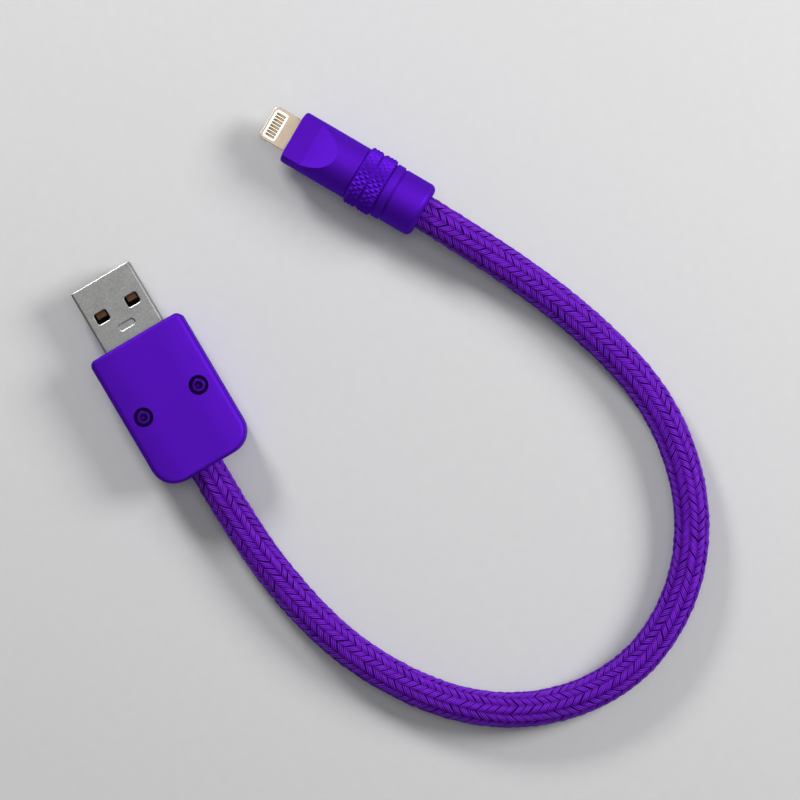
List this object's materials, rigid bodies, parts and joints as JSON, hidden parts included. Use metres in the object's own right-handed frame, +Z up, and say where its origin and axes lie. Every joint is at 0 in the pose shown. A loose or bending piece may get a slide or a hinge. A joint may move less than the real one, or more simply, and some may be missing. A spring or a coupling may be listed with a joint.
{
  "type": "charging cable",
  "caption": "Short charging cable with a flat wide plug in a screwed housing, a thick round braided cord in an open loop and a small flat plug in a round knurled housing.",
  "frame": {"origin": "middle of the wide plug's footprint, on the surface that the cable lies on", "axes": "+Y out of the wide plug's mouth, +Z up from the surface, +X to the right when looking along +Y from above"},
  "size_m": [0.0872, 0.1229, 0.0113],
  "materials": {
    "housing": "satin purple anodised aluminium, bead blasted",
    "screw": "satin purple anodised",
    "cord_braid": "tight round braid of purple polyester yarn",
    "plug_shell": "satin nickel-plated steel",
    "plug_insulator": "black moulded plastic",
    "gold_contact": "gold-plated brass",
    "insert": "machined brass",
    "tin_plate": "tin-plated steel",
    "tip_metal": "satin champagne-plated steel",
    "tip_insulator": "white moulded plastic",
    "board": "green fibreglass circuit board",
    "chip": "black moulded package",
    "jacket": "black inner cable jacket",
    "wire_red": "red wire insulation",
    "wire_white": "white wire insulation",
    "wire_green": "green wire insulation",
    "wire_black": "black wire insulation"
  },
  "bodies": {
    "root": {"usb_housing_top": "housing", "usb_housing_bottom": "housing", "usb_shell": "plug_shell", "usb_insulator": "plug_insulator", "usb_contact_1": "gold_contact", "usb_contact_2": "gold_contact", "usb_contact_3": "gold_contact", "usb_contact_4": "gold_contact", "usb_screw_left": "screw", "usb_screw_right": "screw", "usb_insert_left": "insert", "usb_insert_right": "insert", "usb_cord_jacket": "jacket", "usb_crimp_band": "tin_plate", "usb_wire_1": "wire_red", "usb_wire_2": "wire_white", "usb_wire_3": "wire_green", "usb_wire_4": "wire_black", "braided_cord": "cord_braid", "device_tip_frame": "tip_metal", "device_tip_insulator": "tip_insulator", "device_pad_top_1": "gold_contact", "device_pad_top_2": "gold_contact", "device_pad_top_3": "gold_contact", "device_pad_top_4": "gold_contact", "device_pad_top_5": "gold_contact", "device_pad_top_6": "gold_contact", "device_pad_top_7": "gold_contact", "device_pad_top_8": "gold_contact", "device_pad_bottom_1": "gold_contact", "device_pad_bottom_2": "gold_contact", "device_pad_bottom_3": "gold_contact", "device_pad_bottom_4": "gold_contact", "device_pad_bottom_5": "gold_contact", "device_pad_bottom_6": "gold_contact", "device_pad_bottom_7": "gold_contact", "device_pad_bottom_8": "gold_contact", "device_contact_board": "board", "device_controller_chip": "chip", "device_shield_can": "tin_plate", "device_nose_housing": "housing", "device_grip_ring": "housing", "device_spacer_ring": "housing", "device_rear_collar": "housing", "device_cord_jacket": "jacket", "device_crimp_band": "tin_plate", "device_wire_1": "wire_red", "device_wire_2": "wire_white", "device_wire_3": "wire_green", "device_wire_4": "wire_black"}
  },
  "joints": []
}
